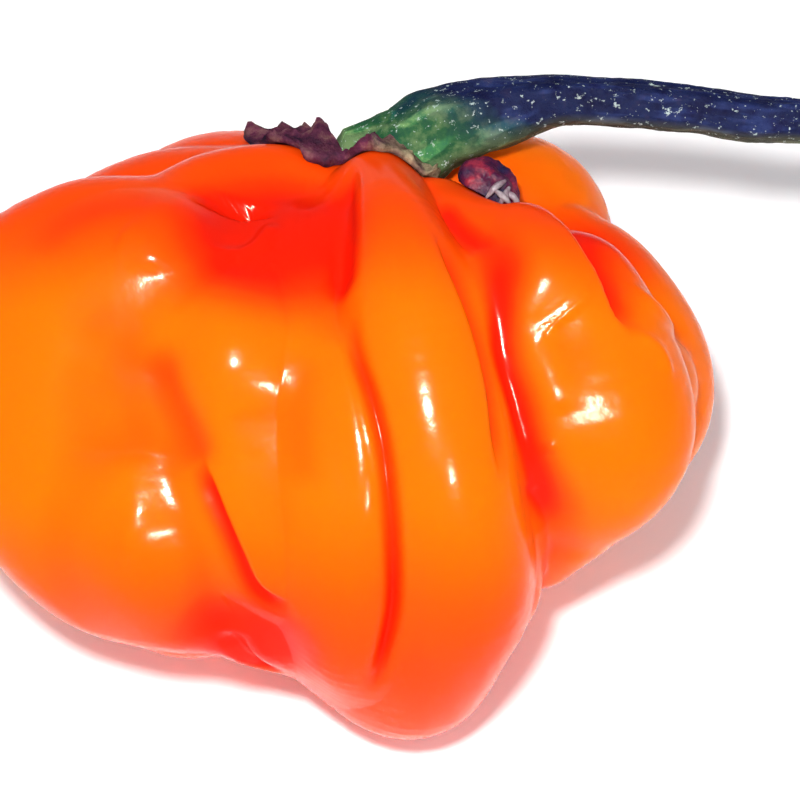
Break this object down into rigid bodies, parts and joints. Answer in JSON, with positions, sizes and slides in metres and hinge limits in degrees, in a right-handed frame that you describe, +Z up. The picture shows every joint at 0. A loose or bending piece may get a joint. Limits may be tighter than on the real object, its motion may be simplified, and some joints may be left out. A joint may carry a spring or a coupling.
{
  "type": "chilli pepper",
  "caption": "Squat, deeply lobed, glossy orange chilli pepper lying on its side, with a dry calyx, a long curved stem and a withered stub beside the stem.",
  "frame": {"origin": "on the floor, under the middle of the whole pepper's bounding box", "axes": "+Z up from the floor the pepper lies on, +X towards the cut end of the stem, -Y towards the front of the pod"},
  "size_m": [0.0598, 0.0382, 0.0355],
  "materials": {
    "orange_skin": "waxy gloss",
    "dry_calyx": "dry and wrinkled",
    "green_stem": "fibrous, slightly waxy",
    "withered_purple": "dry and folded"
  },
  "bodies": {
    "root": {"pod": "orange_skin", "calyx": "dry_calyx", "stem": "green_stem", "withered_stub": "withered_purple"}
  },
  "joints": []
}
